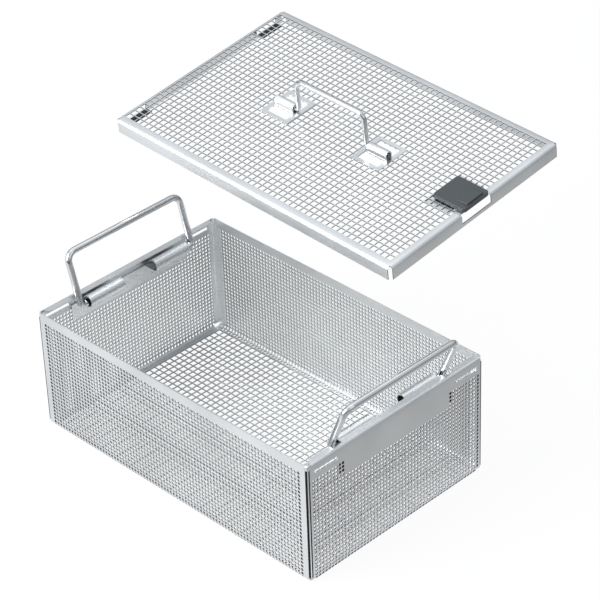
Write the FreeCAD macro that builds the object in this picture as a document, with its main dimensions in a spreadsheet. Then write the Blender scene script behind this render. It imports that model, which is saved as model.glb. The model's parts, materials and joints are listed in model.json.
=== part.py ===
"""Sterilization basket with lid: perforated sheet steel, wire handles and a sliding latch.

Millimetres. The origin is the centre of the basket's underside, +X runs along the length
towards the latch, +Y along the width and +Z up. The lid is modelled flat about the centre
of its own block and is then placed above the basket, slightly tilted.
Each square opening stands for a group of the real small holes, with the same open share.
"""
import FreeCAD, Part
import os
import re

SIZES = [
    # Basket shell
    ("basket_length", 262),
    ("basket_width", 166),
    ("basket_height", 94),
    ("sheet_gauge", 0.6),
    ("bend_radius", 1.8),
    ("floor_bend", 3),
    ("corner_gap", 2.2),
    # Folds of the walls: end wall's top flange and the returns that meet the floor
    ("end_flange", 6),
    ("flange_setback", 4.5),
    ("flange_round", 4),
    ("end_return", 6),
    ("long_return", 4.8),
    ("seam_gap", 0.6),
    # Openings, each for a group of small holes
    ("wall_pitch", 18),
    ("wall_opening", 12),
    ("wall_field_low", 9),
    ("wall_field_high", 81),
    ("mesh_pitch", 25),
    ("mesh_opening", 20),
    ("floor_border", 2),
    ("lid_border", 4.5),
    # Plain panel of the end walls, measured down from the rim
    ("panel_width", 99),
    ("panel_drop", 40),
    # Slots in the end walls for the lid's hooks
    ("slot_centre", 66.4),
    ("slot_length", 21.2),
    ("slot_height", 2.5),
    ("slot_drop", 6.8),
    # Corner angles
    ("angle_gauge", 1),
    ("angle_long_wing", 8),
    ("angle_short_wing", 3.5),
    ("angle_cut", 8),
    ("angle_tab", 3.2),
    # Handle brackets with rolled eyes
    ("bracket_margin", 1.5),
    ("bracket_height", 12.8),
    ("bracket_gauge", 1),
    ("eye_gauge", 0.8),
    ("eye_bore", 3.8),
    ("eye_inset", 10.5),
    ("eye_drop", 4.9),
    ("eye_leg_gap", 6),
    ("eye_length", 31.5),
    ("eye_roll", 245),
    # Wire handles of the basket
    ("handle_wire", 5),
    ("handle_span", 105),
    ("handle_rise", 39.5),
    ("handle_inset", 10.2),
    ("handle_drop", 5.7),
    ("right_lean", 22.5),
    ("left_lean", 15.8),
    ("stop_lean", 34),
    ("handle_foot", 15),
    ("handle_foot_bend", 4),
    ("handle_top_bend", 7),
    ("notch_width", 8.5),
    ("notch_shift", 0.3),
    ("stop_clearance", 0.3),
    # Lid
    ("lid_overhang", 2),
    ("lid_depth", 10.5),
    ("lid_gauge", 0.6),
    ("lid_bend", 1.6),
    ("lid_slit", 2),
    ("lid_shift_x", -43.3),
    ("lid_shift_y", 122.3),
    ("lid_lift", 178.1),
    ("lid_roll", 7.23),
    ("lid_pitch", 2.52),
    # Hook tongues folded in from the lid's left edge
    ("hook_width", 20),
    ("hook_reach", 4.5),
    ("hook_level", 7.2),
    ("hook_window", 4),
    # Lid handle and its eye plates
    ("grip_wire", 4),
    ("grip_span", 65),
    ("grip_rise", 25),
    ("grip_lift", 3.5),
    ("grip_foot", 14),
    ("grip_foot_bend", 3),
    ("grip_top_bend", 6),
    ("eye_plate_inset", 1.7),
    ("eye_plate_length", 26),
    ("eye_plate_width", 30),
    ("eye_plate_gauge", 0.8),
    ("eye_window_length", 19.5),
    ("eye_window_width", 23.6),
    ("lid_eye_gap", 0.5),
    ("lid_eye_length", 17.4),
    ("lid_eye_bore", 2.3),
    # Latch
    ("button_start", 105),
    ("button_length", 28.5),
    ("button_width", 26),
    ("button_gauge", 3.2),
    ("button_round", 2.5),
    ("ramp_start", 119),
    ("ramp_end", 132),
    ("ramp_width", 16),
    ("ramp_rise", 1.4),
    ("ramp_flat", 1),
    ("latch_travel", 5.5),
    ("latch_window_width", 29),
    ("latch_window_depth", 7.6),
    ("bolt_start", 104),
    ("bolt_length", 20),
    ("bolt_width", 22),
    ("bolt_gauge", 1.7),
    ("slide_gap", 0.3),
    ("rivet_shank", 3),
    ("rivet_head", 5.5),
    ("rivet_head_gauge", 0.8),
    ("rivet_place", 112),
    ("rivet_spacing", 14),
    ("guide_gauge", 1),
    ("guide_foot", 5.5),
    ("spring_gauge", 0.3),
    ("spring_width", 6),
    ("spring_radius", 25),
]

# Sides of the wire where it is bent; the feet, which turn in the eyes, are round
WIRE_SIDES = 10

SIZE_NAME = re.compile(r"[a-z]+(?:_[a-z]+)+")

# Sums that several pieces share
HALF_LENGTH = "basket_length / 2"
HALF_WIDTH = "basket_width / 2"
LID_HALF_LENGTH = "(basket_length / 2 + lid_overhang)"
LID_HALF_WIDTH = "(basket_width / 2 + lid_overhang)"
LID_TOP = "lid_depth / 2"
LID_PLACE = ("placement(vector(lid_shift_x; lid_shift_y; lid_lift); rotation(0; 0; lid_roll))"
             " * placement(vector(0; 0; 0); rotation(0; lid_pitch; 0))")
PIVOT_X = "(basket_length / 2 - handle_inset)"
PIVOT_Z = "(basket_height - handle_drop)"
BRACKET_LENGTH = "(handle_span + 2 * bracket_margin)"
EYE_BOTTOM = "(basket_height - eye_drop - eye_bore)"
EYE_START = "(handle_span / 2 - eye_leg_gap - eye_length)"
EYE_PLATE_START = "(grip_span / 2 - eye_plate_inset)"
LID_EYE_START = "(grip_span / 2 + grip_foot_bend + lid_eye_gap)"
BORE_RADIUS = "rivet_shank / 2"
BOLT_TOP = f"({LID_TOP} - lid_gauge - sheet_gauge - slide_gap)"
BOLT_BOTTOM = f"({BOLT_TOP} - bolt_gauge)"
BUTTON_BOTTOM = f"({LID_TOP} + slide_gap)"

X_AXIS = FreeCAD.Vector(1, 0, 0)
Y_AXIS = FreeCAD.Vector(0, 1, 0)
Z_AXIS = FreeCAD.Vector(0, 0, 1)

doc = FreeCAD.newDocument("SterilizationBasket")
sheet = doc.addObject("Spreadsheet::Sheet", "Sizes")
nodes = []


def fill_sheet():
    """Put each driving size in its own named cell."""
    for row, (name, number) in enumerate(SIZES, 1):
        sheet.set(f"A{row}", str(number))
        sheet.setAlias(f"A{row}", name)
    doc.recompute()


def size(name):
    """One driving size as a number."""
    return float(sheet.get(name))


def bind(item, prop, sum_of_sizes):
    """Tie a property to a sum of named sizes."""
    item.setExpression(prop, SIZE_NAME.sub(r"Sizes.\g<0>", sum_of_sizes))


def bind_all(item, **sums):
    """Tie several properties; a double underscore stands for the dot in a name."""
    for prop, sum_of_sizes in sums.items():
        bind(item, prop.replace("__", "."), sum_of_sizes)


def put_block(item, corner, extents):
    """Give a block its low corner and its extents along X, Y and Z."""
    for axis, place in zip("xyz", corner):
        bind(item, f"Placement.Base.{axis}", place)
    for prop, extent in zip(("Length", "Width", "Height"), extents):
        bind(item, prop, extent)
    return item


def block(name, corner, extents):
    """A plain block."""
    return put_block(doc.addObject("Part::Box", name), corner, extents)


def turned(along_x, along_y):
    """The rotation that lays local X and Y along two directions."""
    return FreeCAD.Rotation(along_x, along_y, along_x.cross(along_y), "ZXY")


def slanted_start(direction):
    """A direction across a bar, half-way between two axes, so that no seam meets a bend's."""
    side = X_AXIS if direction == Z_AXIS else Z_AXIS
    return (side + direction.cross(side)).normalize()


def rod(name, radius, length, base, direction, start=None, sweep="360"):
    """A round bar or, with a sweep, a sector of one that starts at a direction."""
    item = doc.addObject("Part::Cylinder", name)
    start = start or slanted_start(direction)
    item.Placement.Rotation = turned(start, direction.cross(start))
    bind_all(item, Radius=radius, Height=length, Angle=sweep)
    for axis, place in zip("xyz", base):
        bind(item, f"Placement.Base.{axis}", place)
    return item


def fuse(name, pieces):
    """One solid from several that touch."""
    item = doc.addObject("Part::MultiFuse", name)
    item.Shapes = pieces
    item.Refine = True
    return item


def chain(name, pieces):
    """One solid from pieces that are joined one after another."""
    whole = pieces[0]
    for number, piece in enumerate(pieces[1:], 1):
        item = doc.addObject("Part::Fuse", f"{name}{number}")
        item.Base = whole
        item.Tool = piece
        whole = item
    return whole


def cut(name, base, tool):
    """The base without the tool."""
    item = doc.addObject("Part::Cut", name)
    item.Base = base
    item.Tool = tool
    return item


def group(name, pieces):
    """Several solids as one tool."""
    item = doc.addObject("Part::Compound", name)
    item.Links = pieces
    return item


def edges_at(shape, **place):
    """Names of the straight edges whose middle lies at the given coordinates."""
    names = []
    for number, edge in enumerate(shape.Edges, 1):
        box = edge.BoundBox
        middle = {"x": box.Center.x, "y": box.Center.y, "z": box.Center.z}
        if all(abs(abs(middle[axis]) - abs(want)) < 0.01 for axis, want in place.items()):
            names.append(f"Edge{number}")
    return names


def new_body(name):
    """A body that gathers the steps of one folded sheet."""
    return doc.addObject("PartDesign::Body", name)


def add_block(body, name, corner, extents):
    return put_block(body.newObject("PartDesign::AdditiveBox", name), corner, extents)


def cut_block(body, name, corner, extents):
    return put_block(body.newObject("PartDesign::SubtractiveBox", name), corner, extents)


def dress_edges(body, kind, name, place):
    """A fillet or chamfer on the newest step's edges that lie at the given coordinates."""
    doc.recompute()
    base = body.Tip
    step = body.newObject(kind, name)
    step.Base = (base, edges_at(base.Shape, **place))
    return step


def round_edges(body, name, radius, **place):
    bind(dress_edges(body, "PartDesign::Fillet", name, place), "Radius", radius)


def chamfer_edges(body, name, width, **place):
    bind(dress_edges(body, "PartDesign::Chamfer", name, place), "Size", width)


def body_axis(body, role):
    """One of the body's own axes, as a pattern's direction."""
    return ([item for item in body.Origin.OriginFeatures if item.Role == role][0], [""])


def opening_field(body, name, corner, extents, first, second):
    """Repeat one opening on a grid; first and second are (axis role, count, pitch)."""
    opening = cut_block(body, name + "_opening", corner, extents)
    field = body.newObject("PartDesign::LinearPattern", name)
    field.Originals = [opening]
    field.Mode = "Spacing"
    field.Mode2 = "Spacing"
    # One plain count first, or the second direction keeps a spacing of nought
    field.Occurrences2 = 1
    field.Direction = body_axis(body, first[0])
    field.Direction2 = body_axis(body, second[0])
    bind_all(field, Occurrences=first[1], Offset=first[2])
    bind_all(field, Occurrences2=second[1], Offset2=second[2])
    body.Tip = field
    return field


def fitting_count(room, pitch, opening):
    """How many openings at a pitch fit into a room."""
    return f"floor(({room} - {opening}) / {pitch}) + 1"


def centred_start(count, pitch, opening):
    """Low edge of the first of a centred row of openings."""
    return f"-(({count}) - 1) * {pitch} / 2 - {opening} / 2"


def name_node(item, name):
    """Name a finished sub-part and keep it for the hand-in."""
    item.Label = name
    nodes.append(item)
    return item


def mirror(source, name, normal):
    """The same sub-part on the opposite side."""
    item = doc.addObject("Part::Mirroring", name + "_mirrored")
    item.Source = source
    item.Normal = normal
    return name_node(item, name)


def make_floor():
    """Floor: coarse mesh between the returns of the four walls, edge to edge with them."""
    body = new_body("Floor")
    half_x = f"({HALF_LENGTH} - end_return)"
    half_y = f"({HALF_WIDTH} - long_return)"
    add_block(body, "FloorSheet", (f"-{half_x}", f"-{half_y}", "0"),
              (f"2 * {half_x}", f"2 * {half_y}", "sheet_gauge"))
    columns = fitting_count(f"2 * ({half_x} - floor_border)", "mesh_pitch", "mesh_opening")
    rows = fitting_count(f"2 * ({half_y} - floor_border)", "mesh_pitch", "mesh_opening")
    opening_field(body, "FloorField",
                  (centred_start(columns, "mesh_pitch", "mesh_opening"),
                   centred_start(rows, "mesh_pitch", "mesh_opening"), "0"),
                  ("mesh_opening", "mesh_opening", "sheet_gauge"),
                  ("X_Axis", columns, "mesh_pitch"), ("Y_Axis", rows, "mesh_pitch"))
    name_node(body, "floor_sheet")


def wall_rows():
    """Count of rows of openings in a wall and the height at which they start."""
    rows = fitting_count("wall_field_high - wall_field_low", "wall_pitch", "wall_opening")
    start = (f"(wall_field_low + wall_field_high) / 2"
             f" + {centred_start(rows, 'wall_pitch', 'wall_opening')}")
    return rows, start


def make_back_wall():
    """Long wall with a plain top edge and a return that meets the floor."""
    body = new_body("BackWall")
    half_x = f"({HALF_LENGTH} - corner_gap)"
    add_block(body, "WallBlock", (f"-{half_x}", f"{HALF_WIDTH} - long_return", "0"),
              (f"2 * {half_x}", "long_return", "basket_height"))
    cut_block(body, "WallInside", (f"-{half_x}", f"{HALF_WIDTH} - long_return", "sheet_gauge"),
              (f"2 * {half_x}", "long_return - sheet_gauge", "basket_height - sheet_gauge"))
    outside = size("basket_width") / 2
    gauge = size("sheet_gauge")
    round_edges(body, "OuterBend", "floor_bend", y=outside, z=0)
    round_edges(body, "InnerBend", "floor_bend - sheet_gauge", y=outside - gauge, z=gauge)
    columns = fitting_count(f"2 * {half_x}", "wall_pitch", "wall_opening")
    rows, start = wall_rows()
    opening_field(body, "WallField",
                  (centred_start(columns, "wall_pitch", "wall_opening"),
                   f"{HALF_WIDTH} - sheet_gauge", start),
                  ("wall_opening", "sheet_gauge", "wall_opening"),
                  ("X_Axis", columns, "wall_pitch"), ("Z_Axis", rows, "wall_pitch"))
    name_node(body, "back_wall")
    mirror(body, "front_wall", Y_AXIS)


def fold_end_wall(body):
    """The channel of an end wall: web, top flange and return beside the floor."""
    half_y = f"({HALF_WIDTH} - corner_gap)"
    web_x = f"{HALF_LENGTH} - sheet_gauge"
    add_block(body, "EndWeb", (web_x, f"-{half_y}", "0"),
              ("sheet_gauge", f"2 * {half_y}", "basket_height"))
    add_block(body, "EndFlange",
              (f"{HALF_LENGTH} - end_flange", f"-{half_y}", "basket_height - sheet_gauge"),
              ("end_flange", f"2 * {half_y}", "sheet_gauge"))
    add_block(body, "EndReturn", (f"{HALF_LENGTH} - end_return", f"-{half_y}", "0"),
              ("end_return", f"2 * {half_y}", "sheet_gauge"))
    outside = size("basket_length") / 2
    gauge = size("sheet_gauge")
    rim = size("basket_height")
    round_edges(body, "EndBendLow", "floor_bend", x=outside, z=0)
    round_edges(body, "EndBendHigh", "bend_radius", x=outside, z=rim)
    round_edges(body, "EndInnerLow", "floor_bend - sheet_gauge", x=outside - gauge, z=gauge)
    round_edges(body, "EndInnerHigh", "bend_radius - sheet_gauge", x=outside - gauge, z=rim - gauge)


def trim_end_folds(body):
    """Shorten the flange and the return, and round the flange's ends."""
    for side, low_y in (("Front", "-basket_width / 2"),
                        ("Back", f"{HALF_WIDTH} - flange_setback")):
        cut_block(body, f"Flange{side}",
                  (f"{HALF_LENGTH} - end_flange", low_y, "basket_height - sheet_gauge"),
                  ("end_flange - bend_radius", "flange_setback", "sheet_gauge"))
    reach = "(long_return + seam_gap)"
    for side, low_y in (("Front", "-basket_width / 2"), ("Back", f"{HALF_WIDTH} - {reach}")):
        cut_block(body, f"Return{side}", (f"{HALF_LENGTH} - end_return", low_y, "0"),
                  ("end_return", reach, "floor_bend"))
    round_edges(body, "FlangeRound", "flange_round",
                x=size("basket_length") / 2 - size("end_flange"),
                y=size("basket_width") / 2 - size("flange_setback"))


def cut_leg_notches(body):
    """Notches in the flange on whose ends the handle's legs come to rest."""
    lean_reach = "(handle_drop * tan(stop_lean * 1 deg) + handle_wire / 2 / cos(stop_lean * 1 deg))"
    stop_x = f"{PIVOT_X} + {lean_reach} + stop_clearance"
    low_x = f"{HALF_LENGTH} - end_flange"
    for side, sign in (("Front", "-"), ("Back", "")):
        cut_block(body, f"Notch{side}",
                  (low_x, f"{sign}(handle_span / 2 + notch_shift) - notch_width / 2",
                   "basket_height - sheet_gauge"),
                  (f"{stop_x} - ({low_x})", "notch_width", "sheet_gauge"))


def cut_hook_slots(body):
    """Slots through the web that take the lid's hooks."""
    for side, sign in (("Front", "-"), ("Back", "")):
        cut_block(body, f"Slot{side}",
                  (f"{HALF_LENGTH} - sheet_gauge", f"{sign}slot_centre - slot_length / 2",
                   "basket_height - slot_drop - slot_height / 2"),
                  ("sheet_gauge", "slot_length", "slot_height"))


def perforate_end_wall(body):
    """Openings below and on both sides of the plain panel."""
    room = f"({HALF_WIDTH} - corner_gap)"
    columns = fitting_count(f"2 * {room}", "wall_pitch", "wall_opening")
    start_y = centred_start(columns, "wall_pitch", "wall_opening")
    rows, start_z = wall_rows()
    low_x = f"{HALF_LENGTH} - sheet_gauge"
    extents = ("sheet_gauge", "wall_opening", "wall_opening")
    under = fitting_count(f"basket_height - panel_drop - ({start_z})", "wall_pitch", "wall_opening")
    opening_field(body, "FieldLow", (low_x, start_y, start_z), extents,
                  ("Y_Axis", columns, "wall_pitch"), ("Z_Axis", under, "wall_pitch"))
    beside = fitting_count(f"-panel_width / 2 - ({start_y})", "wall_pitch", "wall_opening")
    upper_z = f"{start_z} + ({under}) * wall_pitch"
    upper_rows = f"({rows}) - ({under})"
    last_y = f"{start_y} + (({columns}) - ({beside})) * wall_pitch"
    for side, low_y in (("Front", start_y), ("Back", last_y)):
        opening_field(body, f"Field{side}", (low_x, low_y, upper_z), extents,
                      ("Y_Axis", beside, "wall_pitch"), ("Z_Axis", upper_rows, "wall_pitch"))


def make_end_walls():
    """End walls with flange, notches, hook slots and plain panel."""
    body = new_body("RightEndWall")
    fold_end_wall(body)
    trim_end_folds(body)
    cut_leg_notches(body)
    cut_hook_slots(body)
    perforate_end_wall(body)
    name_node(body, "right_end_wall")
    mirror(body, "left_end_wall", X_AXIS)


def make_corner(name, side_x, side_y, with_tab):
    """Corner angle inside two walls: rounded back, cut-down long wing, optional top tab."""
    body = new_body(name + "_body")
    outer_x = f"({HALF_LENGTH} - sheet_gauge)"
    outer_y = f"({HALF_WIDTH} - sheet_gauge)"
    bottom = "floor_bend"
    rise = "basket_height - floor_bend"
    long_wing = "(angle_long_wing + angle_gauge)"
    short_wing = "(angle_short_wing + angle_gauge)"

    def low(outer, reach, side):
        """Low coordinate of a stretch that starts at the outer face and runs inwards."""
        return f"{outer} - {reach}" if side > 0 else f"-{outer}"

    add_block(body, name + "_block", (low(outer_x, long_wing, side_x),
                                      low(outer_y, short_wing, side_y), bottom),
              (long_wing, short_wing, rise))
    inner_x = f"({outer_x} - angle_gauge)"
    inner_y = f"({outer_y} - angle_gauge)"
    cut_block(body, name + "_inside", (low(inner_x, long_wing, side_x),
                                       low(inner_y, short_wing, side_y), bottom),
              (long_wing, short_wing, rise))
    corner_x = size("basket_length") / 2 - size("sheet_gauge")
    corner_y = size("basket_width") / 2 - size("sheet_gauge")
    gauge = size("angle_gauge")
    round_edges(body, name + "_bend", "bend_radius", x=corner_x, y=corner_y)
    round_edges(body, name + "_inner_bend", "bend_radius - angle_gauge",
                x=corner_x - gauge, y=corner_y - gauge)
    # Room for the bend of the end wall's flange
    cut_block(body, name + "_relief",
              (low(outer_x, "2 * angle_gauge", side_x),
               low(f"({HALF_WIDTH} - corner_gap)", short_wing, side_y), "basket_height - bend_radius"),
              ("2 * angle_gauge", short_wing, "bend_radius"))
    doc.recompute()
    wedge = block(name + "_wedge", ("0", "0", "0"),
                  ("angle_cut * 2", "3 * angle_gauge", "angle_cut * 2"))
    bind(wedge, "Placement",
         f"placement(vector({side_x} * ({outer_x} - bend_radius); {side_y} * {inner_y};"
         f" basket_height - angle_gauge * 1.2); rotation(0; {side_x} * -45; 0))"
         f" * placement(vector(-angle_cut; -1.5 * angle_gauge; 0); rotation(0; 0; 0))")
    angle = cut(name + "_angle", body, wedge)
    if with_tab:
        tab = block(name + "_tab", (low(inner_x, "angle_tab", side_x), low(outer_y, "angle_tab", side_y),
                                    "basket_height - angle_gauge"),
                    ("angle_tab", "angle_tab", "angle_gauge"))
        angle = fuse(name + "_with_tab", [angle, tab])
    name_node(angle, name)


def make_corners():
    """The four corner angles; the tab shows at the front right corner."""
    for side_x, word_x in ((-1, "left"), (1, "right")):
        for side_y, word_y in ((-1, "front"), (1, "back")):
            make_corner(f"corner_{word_y}_{word_x}", side_x, side_y, side_x > 0 > side_y)


def make_eye(side, low_y):
    """One rolled eye: a shelf from the plate that curls over the handle's foot."""
    centre_x = f"{HALF_LENGTH} - eye_inset"
    centre_z = "(basket_height - eye_drop)"
    outer = "(eye_bore + eye_gauge)"
    base = (centre_x, low_y, centre_z)
    shell = cut(f"EyeRoll{side}",
                rod(f"EyeOuter{side}", outer, "eye_length", base, Y_AXIS, -Z_AXIS, "eye_roll"),
                rod(f"EyeBore{side}", "eye_bore", "eye_length", base, Y_AXIS))
    plate_face = f"({HALF_LENGTH} - sheet_gauge - bracket_gauge)"
    shelf = block(f"EyeShelf{side}", (centre_x, low_y, f"{EYE_BOTTOM} - eye_gauge"),
                  (f"{plate_face} - ({centre_x})", "eye_length", "eye_gauge"))
    return [shell, shelf]


def make_brackets():
    """Handle brackets: a plate on the end wall with two rolled eyes."""
    plate = block("BracketPlate",
                  (f"{HALF_LENGTH} - sheet_gauge - bracket_gauge", f"-{BRACKET_LENGTH} / 2",
                   f"{EYE_BOTTOM} - bracket_height"),
                  ("bracket_gauge", BRACKET_LENGTH, "bracket_height"))
    pieces = [plate]
    pieces += make_eye("Back", EYE_START)
    pieces += make_eye("Front", f"-{EYE_START} - eye_length")
    bracket = name_node(fuse("Bracket", pieces), "right_handle_bracket")
    mirror(bracket, "left_handle_bracket", X_AXIS)


def wire_prism(name, wire, length, base, direction, start):
    """A straight stretch of many-sided wire with one of its edges towards start."""
    item = doc.addObject("Part::Prism", name)
    item.Polygon = WIRE_SIDES
    item.Placement.Rotation = turned(start, direction.cross(start))
    bind_all(item, Circumradius=wire, Height=length)
    for axis, place in zip("xyz", base):
        bind(item, f"Placement.Base.{axis}", place)
    return item


def quarter_bend(name, ring, wire, along, across, centre):
    """A quarter turn of many-sided wire from one direction of its centre to the next."""
    section = doc.addObject("Part::RegularPolygon", name + "Section")
    section.Polygon = WIRE_SIDES
    section.Placement.Rotation = FreeCAD.Rotation(X_AXIS, 90)
    bind_all(section, Circumradius=wire, Placement__Base__x=ring)
    item = doc.addObject("Part::Revolution", name)
    item.Source = section
    item.Axis = Z_AXIS
    item.Base = FreeCAD.Vector(0, 0, 0)
    item.Angle = 90
    item.Solid = True
    item.Placement.Rotation = turned(along, across)
    for axis, place in zip("xyz", centre):
        bind(item, f"Placement.Base.{axis}", place)
    return item


def wire_handle(name, axis, wire, half_span, rise, bends, foot, foot_turn):
    """Bent wire handle about its pivot line: two feet, two legs and a bar, turned up.

    axis is the pivot's direction; foot_turn is -1 for feet that point inwards, 1 outwards.
    """
    radius = f"{wire} / 2"
    foot_bend, top_bend = bends

    def at(along, height):
        """A point of the handle's plane as X, Y and Z."""
        return (along, "0", height) if axis == X_AXIS else ("0", along, height)

    bar_start = f"-({half_span} - {top_bend})"
    pieces = [wire_prism(name + "Bar", radius, f"2 * ({half_span} - {top_bend})",
                         at(bar_start, rise), axis, Z_AXIS)]
    for side, word in ((-1, "Low"), (1, "High")):
        turn = side * foot_turn
        leg = f"{side} * {half_span}"
        pieces.append(wire_prism(name + "Leg" + word, radius, f"{rise} - {foot_bend} - {top_bend}",
                                 at(leg, foot_bend), Z_AXIS, axis))
        centre = f"{leg} + {turn} * {foot_bend}"
        along, across = (-Z_AXIS, axis) if turn < 0 else (-axis, -Z_AXIS)
        pieces.append(quarter_bend(name + "FootBend" + word, foot_bend, radius, along, across,
                                   at(centre, foot_bend)))
        along, across = (axis, Z_AXIS) if side > 0 else (Z_AXIS, -axis)
        pieces.append(quarter_bend(name + "TopBend" + word, top_bend, radius, along, across,
                                   at(f"{side} * ({half_span} - {top_bend})",
                                      f"{rise} - {top_bend}")))
        foot_start = centre if turn > 0 else f"{centre} - {foot}"
        pieces.append(rod(name + "Foot" + word, radius, foot, at(foot_start, "0"), axis))
    return chain(name, pieces)


def make_handles():
    """The basket's two swinging handles, leaning outwards as they were left."""
    for word, side in (("right", 1), ("left", -1)):
        handle = wire_handle(word.capitalize() + "Handle", Y_AXIS, "handle_wire",
                             "handle_span / 2", "handle_rise",
                             ("handle_foot_bend", "handle_top_bend"), "handle_foot", -1)
        bind(handle, "Placement",
             f"placement(vector({side} * {PIVOT_X}; 0; {PIVOT_Z});"
             f" rotation(0; {side} * {word}_lean; 0))")
        name_node(handle, word + "_handle")


def fold_lid(body):
    """The lid's tray form with slit corners."""
    low = f"-{LID_TOP}"
    add_block(body, "LidBlock", (f"-{LID_HALF_LENGTH}", f"-{LID_HALF_WIDTH}", low),
              (f"2 * {LID_HALF_LENGTH}", f"2 * {LID_HALF_WIDTH}", "lid_depth"))
    out_x = size("basket_length") / 2 + size("lid_overhang")
    out_y = size("basket_width") / 2 + size("lid_overhang")
    round_edges(body, "LidCorners", "lid_slit", x=out_x, y=out_y)
    round_edges(body, "LidBend", "lid_bend", z=size("lid_depth") / 2)
    half_x = f"({LID_HALF_LENGTH} - lid_gauge)"
    half_y = f"({LID_HALF_WIDTH} - lid_gauge)"
    cut_block(body, "LidInside", (f"-{half_x}", f"-{half_y}", low),
              (f"2 * {half_x}", f"2 * {half_y}", "lid_depth - lid_gauge"))
    for word_x, low_x in (("Left", f"-{LID_HALF_LENGTH}"), ("Right", f"{LID_HALF_LENGTH} - lid_slit")):
        for word_y, low_y in (("Front", f"-{LID_HALF_WIDTH}"), ("Back", f"{LID_HALF_WIDTH} - lid_slit")):
            cut_block(body, f"Slit{word_x}{word_y}", (low_x, low_y, low),
                      ("lid_slit", "lid_slit", "lid_depth - 1.5 * lid_gauge"))


def add_hooks(body):
    """Hook tongues lanced out of the left edge and folded inwards."""
    level = f"{LID_TOP} - hook_level"
    for side, sign in (("Front", "-"), ("Back", "")):
        low_y = f"{sign}slot_centre - hook_width / 2"
        cut_block(body, f"HookWindow{side}", (f"-{LID_HALF_LENGTH}", low_y, level),
                  ("lid_gauge", "hook_width", "hook_window"))
        add_block(body, f"Hook{side}", (f"-{LID_HALF_LENGTH}", low_y, f"{level} - lid_gauge"),
                  ("hook_reach + lid_gauge", "hook_width", "lid_gauge"))


def cut_latch_places(body):
    """Window in the right edge for the button, and slots for the rivets."""
    cut_block(body, "LatchWindow",
              (f"{LID_HALF_LENGTH} - 2 * lid_gauge", "-latch_window_width / 2",
               f"{LID_TOP} - latch_window_depth"),
              ("2 * lid_gauge", "latch_window_width", "latch_window_depth"))
    slot_width = "(rivet_shank + 2 * slide_gap)"
    for side, sign in (("Front", "-"), ("Back", "")):
        cut_block(body, f"RivetSlot{side}",
                  (f"rivet_place - {slot_width} / 2",
                   f"{sign}rivet_spacing / 2 - {slot_width} / 2", f"{LID_TOP} - lid_gauge"),
                  (f"latch_travel + {slot_width}", slot_width, "lid_gauge"))


def eye_window(side):
    """Low X, low Y and extents of the window that the lid and its eye plate share."""
    low_x = EYE_PLATE_START if side > 0 else f"-{EYE_PLATE_START} - eye_plate_length"
    return (f"{low_x} + (eye_plate_length - eye_window_length) / 2", "-eye_window_width / 2",
            "eye_window_length", "eye_window_width")


def cut_eye_windows(body):
    """Windows in the lid beside the raised strips of the eye plates."""
    strip = "(lid_eye_bore + eye_plate_gauge)"
    for word, side in (("Left", -1), ("Right", 1)):
        low_x, low_y, length, width = eye_window(side)
        for part, start in (("Front", low_y), ("Back", strip)):
            cut_block(body, f"LidEye{word}{part}", (low_x, start, f"{LID_TOP} - lid_gauge"),
                      (length, f"{width} / 2 - {strip}", "lid_gauge"))


def perforate_lid(body):
    """Openings over the lid, but not where the latch slides."""
    columns = fitting_count(f"2 * ({LID_HALF_LENGTH} - lid_border)", "mesh_pitch", "mesh_opening")
    # An even count of rows leaves a bar along the middle, which carries the eyes' strips
    rows = fitting_count(f"2 * ({LID_HALF_WIDTH} - lid_border)", "mesh_pitch", "mesh_opening")
    rows = f"2 * floor(({rows}) / 2)"
    start_x = centred_start(columns, "mesh_pitch", "mesh_opening")
    start_y = centred_start(rows, "mesh_pitch", "mesh_opening")
    low_z = f"{LID_TOP} - lid_gauge"
    extents = ("mesh_opening", "mesh_opening", "lid_gauge")
    opening_field(body, "LidField", (start_x, start_y, low_z), extents,
                  ("X_Axis", f"({columns}) - 1", "mesh_pitch"), ("Y_Axis", rows, "mesh_pitch"))
    last_x = f"{start_x} + (({columns}) - 1) * mesh_pitch"
    beside = fitting_count(f"-button_width / 2 - ({start_y})", "mesh_pitch", "mesh_opening")
    for side, low_y in (("Front", start_y),
                        ("Back", f"{start_y} + (({rows}) - ({beside})) * mesh_pitch")):
        opening_field(body, f"LidField{side}", (last_x, low_y, low_z), extents,
                      ("Y_Axis", beside, "mesh_pitch"), ("X_Axis", "1", "mesh_pitch"))


def name_lid_node(item, name):
    """A sub-part of the lid, placed with it."""
    bind(item, "Placement", LID_PLACE)
    return name_node(item, name)


def make_lid_sheet():
    """The perforated lid with folded edges, hooks and latch places."""
    body = new_body("Lid")
    fold_lid(body)
    add_hooks(body)
    cut_latch_places(body)
    cut_eye_windows(body)
    perforate_lid(body)
    name_lid_node(body, "lid_sheet")


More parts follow.
